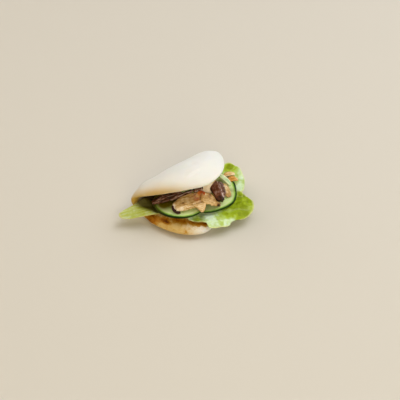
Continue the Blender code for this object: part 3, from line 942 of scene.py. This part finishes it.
def cap_tone(place, normal):
    """Matte brown on the left facet, streaky glints on the right one, nearly black at the rim."""
    own = CAP_FRAME @ place
    matte = ease(0.5, -1.5, own.y) * ease(0.4, 1.6, own.z)
    brim = -0.5 * ease(1.2, -0.4, own.z) * ease(0.0, -3.0, own.y)
    ridge = 0.35 * math.exp(-((own.y + 0.2) / 0.7) ** 2) * ease(15.0, 6.0, own.x)
    streaky = Vector((own.x / 4.0, own.y / 1.5, own.z / 2.2))
    glints = 0.45 * ease(0.0, 0.45, noise.noise(streaky)) * ease(0.0, 1.6, own.y)
    glints += spots_near(place, CAP_GLINTS)
    return (0.35 + 0.26 * matte + 0.10 * ease(-1.0, 3.0, own.y) + brim + ridge + glints
            + 0.15 * noise.noise(place / 2.0) - 0.25 * ease(17.5, 21.0, own.x)
            - 0.35 * ease(-5.5, -8.0, own.y))


def cap_wet(place, normal):
    return 0.7 * ease(-1.5, 0.5, (CAP_FRAME @ place).y)


mushroom_piece("mushroom_cap", skin, CAP_LINE, cap_tone, sauce=CAP_SAUCE,
               wet=cap_wet, roll=CAP_ROLL, shape=cap_shape, relief=cap_relief)

EDGE_LINE = ((39.0, -3.0, 21.8), (36.4, -18.4, 20.6))
EDGE_SPOTS = ((36.0, -16.5, 21.0, 2.5, -0.25), (38.5, -5.0, 22.5, 2.0, 0.2))


def edge_shape(own):
    """Broader at its far end, where it lies under the cap."""
    far_end = ease(9.0, 0.0, own.x)
    own.y = own.y * (1.0 + 1.4 * far_end) - 1.2 - 3.6 * far_end
    own.x -= 4.0 * ease(5.0, 0.0, own.x)
    own.z = own.z * 0.8 - 0.4
    return own


mushroom_piece("mushroom_edge", flesh, EDGE_LINE,
               tone_by_side(0.50, 0.05, 0.16, EDGE_SPOTS), wet=0.3, shape=edge_shape,
               relief=(0.2, 0.2))


def strand_height(own, strands):
    """0 in the grooves between the strands of a torn strip, and 1 on top of a strand."""
    drift = 0.8 * noise.noise(Vector((own.x / 9.0, 0.0, 3.0)))
    return abs(math.sin(math.pi * (own.y / strands + drift)))


def stranded(to_own, strands, depth):
    """Relief of a torn strip: grooves along it part the strands."""

    def offset(place, normal):
        own = to_own @ place
        lumps = noise.noise(Vector((own.x / 5.0, own.y / 1.2, own.z)))
        return normal * (depth * (strand_height(own, strands)**0.6 - 0.8) + 0.3 * lumps)

    return offset


def strand_tone(to_own, strands):
    """Dark in the grooves as painted shade between the strands, paler on the strands and palest
    along the strip's middle.
    """

    def tone(place, normal):
        own = to_own @ place
        streak = noise.noise(Vector((own.x / 7.0, own.y / 0.9, 1.0)))
        ridge = 0.50 * math.exp(-((own.y + 0.6) / 1.0) ** 2)
        return 0.22 + 0.24 * strand_height(own, strands) + 0.60 * streak + ridge

    return tone


def strip_shape(own):
    """The end that shows runs on a little, in under the dough."""
    own.x -= 1.8 * ease(6.0, 0.0, own.x)
    return own


for node, line, strands in (
    ("mushroom_strip_left", ((-32.8, 10.0, 19.5), (-3.6, 6.0, 22.5)), 3.2),
    ("mushroom_strip_middle", ((-17.4, 2.2, 23.6), (4.8, 0.2, 27.2)), 2.6),
):
    strip_frame = piece_frame(*line)
    mushroom_piece(node, skin, line, strand_tone(strip_frame, strands), wet=0.3,
                   shape=strip_shape, relief=stranded(strip_frame, strands, 0.8))


def stem_tone(place, normal):
    """Blotchy with pale specks as painted glints, and black at the end by the rear piece as painted
    shade in the gap between them.
    """
    return 0.54 + 0.8 * noise.noise(place / 1.4) - 0.9 * ease(12.0, 13.6, place.x)


mushroom_piece("mushroom_stem", skin, ((5.6, -1.8, 27.7), (14.4, -3.0, 30.1)),
               stem_tone, wet=0.8, shape=strip_shape, relief=wrinkled(0.5, 2.2))

GLAZE_LINE = ((12.2, -7.0, 29.7), (3.6, -14.0, 28.3))
GLAZE_FRAME = piece_frame(*GLAZE_LINE)


def glaze_shape(own):
    """The glaze is thin at its edges and runs forward over the slab's near edge."""
    own.x = own.x * 1.05 + 0.9
    own.z = own.z * 0.55 + 0.5 - 0.03 * max(0.0, own.x - 6.0) ** 2
    own.y *= 1.35
    return own


def glaze_tone(place, normal):
    """Deepest red at its upper end, and thinner and paler towards its edges."""
    own = GLAZE_FRAME @ place
    return 0.22 + 0.70 * ease(3.0, 10.5, own.x) + 0.25 * ease(1.6, 4.0, abs(own.y))


mushroom_piece("glazed_strip", glaze, GLAZE_LINE, glaze_tone, wet=0.6,
               shape=glaze_shape, relief=(0.15, 0.15))


# Skin curl: the slab keeps a strip of its dark wet skin, which hangs from its left end down to
# the cucumber.
CURL_POINTS = ((-20.6, -6.4, 24.0), (-21.2, -8.6, 23.0), (-21.2, -11.0, 21.9),
               (-20.2, -13.2, 21.0), (-18.4, -14.8, 20.7), (-16.6, -15.2, 20.9))
CURL_WIDTH = 4.2
CURL_THICKNESS = 2.2
CURL_CUTS = 24
CURL_HIGHLIGHT = ((-20.0, -6.0, 24.6, 1.5, 0.75),)


def through(points, share):
    """Point at a share from 0 to 1 along the smooth curve through the points."""
    place = min(max(share, 0.0), 0.9999) * (len(points) - 1)
    first = int(place)
    t = place - first
    a, b, c, d = (Vector(points[min(max(first + k, 0), len(points) - 1)]) for k in (-1, 0, 1, 2))
    return 0.5 * (2.0 * b + (c - a) * t + (2.0 * a - 5.0 * b + 4.0 * c - d) * t**2
                  + (3.0 * b - a - 3.0 * c + d) * t**3)


def strip_along(name, points, width, thickness, cuts):
    """A flat strip with round edges along a curve, narrower towards its ends."""
    bm = bmesh.new()
    bmesh.ops.create_cube(bm, size=2.0)
    along = [e for e in bm.edges if abs(e.verts[0].co.x - e.verts[1].co.x) > 0.1]
    bmesh.ops.subdivide_edges(bm, edges=along, cuts=cuts, use_grid_fill=True)
    across = [e for e in bm.edges if abs(e.verts[0].co.x - e.verts[1].co.x) < 0.01]
    bmesh.ops.subdivide_edges(bm, edges=across, cuts=3, use_grid_fill=True)
    for vert in bm.verts:
        x, y, z = vert.co
        share = 0.5 + 0.5 * x
        middle = through(points, share)
        onward = (through(points, share + 0.01) - through(points, share - 0.01)).normalized()
        side = UP.cross(onward).normalized()
        top = onward.cross(side)
        narrow = ((1.0 - abs(x) ** 4) ** 0.5 * 0.85 + 0.15) * (0.85 + 0.25 * x)
        reach = max(abs(y), abs(z)) / max(1e-6, math.hypot(y, z))
        vert.co = (middle + side * (0.5 * width * y * reach * narrow)
                   + top * (0.5 * thickness * z * reach * narrow))
    bmesh.ops.recalc_face_normals(bm, faces=bm.faces)
    piece = new_piece(name, bm)
    subdivide(piece, 2, rounds=0)
    return piece


# Dark skin, with a painted highlight where it leaves the slab's left end.
def curl_tone(place, normal):
    return 0.08 + 0.2 * noise.noise(place / 1.5) + spots_near(place, CURL_HIGHLIGHT)


curl = strip_along("mushroom_slab_skin", CURL_POINTS, CURL_WIDTH, CURL_THICKNESS, CURL_CUTS)
paint_own(curl, piece_frame(CURL_POINTS[0], CURL_POINTS[-1]))
sculpt(curl, wrinkled(0.12, 3.0))
paint(curl, "tone", curl_tone)
paint(curl, "sauce", lambda place, normal: 0.3)
paint(curl, "wet", lambda place, normal: 0.12)
curl.data.materials.append(skin)
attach(curl, "root")


# Garnish: a strip of spring onion, pale green with cream borders, and two thin fried slivers that
# dried to a tan orange. They lie loose on the cucumber and the back leaf.
ONION_STOPS = ((0.0, "#84b074"), (1.0, "#f4f0d0"), (0.35, "#b0d0a0"), (0.6, "#cce2b0"),
               (0.8, "#ecf0c8"))
FRIED_STOPS = ((0.0, "#7a3c08"), (1.0, "#f4dcc0"), (0.3, "#b0661a"), (0.55, "#cf9238"),
               (0.8, "#e6bf80"))
onion = mushroom_finish("spring onion", ONION_STOPS, "#a8c890", 0.7, 0.2)
fried = mushroom_finish("fried sliver", FRIED_STOPS, "#a85a1c", 0.6, 0.25)
ONION_LINE = ((40.0, 10.2, 24.3), (45.4, -4.4, 19.9))
ONION_FRAME = piece_frame(*ONION_LINE)


def flaked(length, across):
    """A thin flake: broad in the middle, and drawn to a thin edge at both its ends."""

    def shape(own):
        share = min(1.0, abs(2.0 * own.x / length - 1.0))
        own.y *= across * (1.0 - 0.45 * share**3)
        own.z = own.z * (1.0 - 0.65 * share**2) - 0.5 * share**2
        return own

    return shape


def onion_tone(place, normal):
    """Green in the middle, cream along its borders and towards its far end, and paler at the end
    under the lid as painted light against the lid's shade.
    """
    own = ONION_FRAME @ place
    border = ease(0.9, 2.0, abs(own.y))
    return 0.26 + 0.50 * border + 0.30 * ease(10.0, 16.0, own.x) + 0.25 * ease(9.0, 4.0, own.x)


def onion_shape(own):
    """Slightly hollow across, as part of a tube, and turned a little to its side."""
    own.y += 0.4 - 0.4 * ease(4.0, 16.0, own.x)
    own.x *= 0.94
    own.z += 0.12 * abs(own.y)
    return own


mushroom_piece("onion_strip", onion, ONION_LINE, onion_tone, wet=0.5,
               shape=onion_shape, relief=(0.1, 0.15))
mushroom_piece("sliver_upper", fried, ((46.8, 14.0, 18.1), (60.0, 13.6, 16.6)),
               tone_by_side(0.52, 0.05, 0.2, ((59.0, 12.5, 17.0, 4.0, 0.4),)), wet=0.2,
               shape=flaked(13.3, 2.1), relief=(0.5, 0.6))
mushroom_piece("sliver_lower", fried, ((45.0, 3.6, 21.1), (57.0, 2.6, 19.0)),
               tone_by_side(0.28, 0.05, 0.15, ((56.5, 2.8, 19.0, 4.0, 0.45),)), wet=0.25,
               shape=flaked(12.2, 1.35), relief=(0.5, 0.6))


# Studio: a plain pale floor, large soft lights high at the right, overhead, in front and behind,
# and a little even light all round.
TARGET = Vector((0.01825, 0.01065, 0.0))
CAMERA_AZIMUTH = math.radians(-28.0)
CAMERA_ELEVATION = math.radians(43.0)
CAMERA_DISTANCE = 0.9
LENS = 81.0
SENSOR_WIDTH = 36.0
FLOOR_HALF = 6.0
LAMP_DISTANCE = 2.2
EVEN_LIGHT = 0.12

bm = bmesh.new()
bmesh.ops.create_grid(bm, x_segments=1, y_segments=1, size=FLOOR_HALF / MM)
floor = new_piece("floor", bm)
paper = new_material("pale paper")
add_node(paper, SHADER, {"Base Color": linear("#d8d4cc"), "Roughness": 0.7})
floor.data.materials.append(paper)

for name, direction, size, power, colour in (
    ("key light", (0.78, 0.02, 0.85), 1.8, 26.6, "#fffeff"),
    ("top light", (0.1, 0.0, 1.0), 1.8, 13.0, "#fcfff8"),
    ("front light", (-0.25, -0.9, 0.52), 1.6, 24.0, "#ffedc8"),
    ("back light", (-0.5, 0.7, 0.65), 1.6, 15.0, "#fff0dc"),
):
    lamp = bpy.data.lights.new(name, "AREA")
    lamp.size = size
    lamp.energy = power
    lamp.color = linear(colour)[:3]
    light = bpy.data.objects.new(name, lamp)
    light.location = TARGET + Vector(direction).normalized() * LAMP_DISTANCE
    light.rotation_mode = "QUATERNION"
    light.rotation_quaternion = (light.location - TARGET).to_track_quat("Z", "Y")
    bpy.context.scene.collection.objects.link(light)

world = bpy.data.worlds.new("even light")
world.use_nodes = True
sky = world.node_tree.nodes["Background"]
sky.inputs["Color"].default_value = linear("#fff3e2")
sky.inputs["Strength"].default_value = EVEN_LIGHT
bpy.context.scene.world = world
bpy.context.scene.view_settings.view_transform = "Standard"

back = Vector((math.sin(CAMERA_AZIMUTH) * math.cos(CAMERA_ELEVATION),
               -math.cos(CAMERA_AZIMUTH) * math.cos(CAMERA_ELEVATION),
               math.sin(CAMERA_ELEVATION)))
camera_data = bpy.data.cameras.new("camera")
camera_data.lens = LENS
camera_data.sensor_width = SENSOR_WIDTH
camera = bpy.data.objects.new("camera", camera_data)
camera.location = TARGET + back * CAMERA_DISTANCE
camera.rotation_mode = "QUATERNION"
camera.rotation_quaternion = (-back).to_track_quat("-Z", "Y")
bpy.context.scene.collection.objects.link(camera)
bpy.context.scene.camera = camera
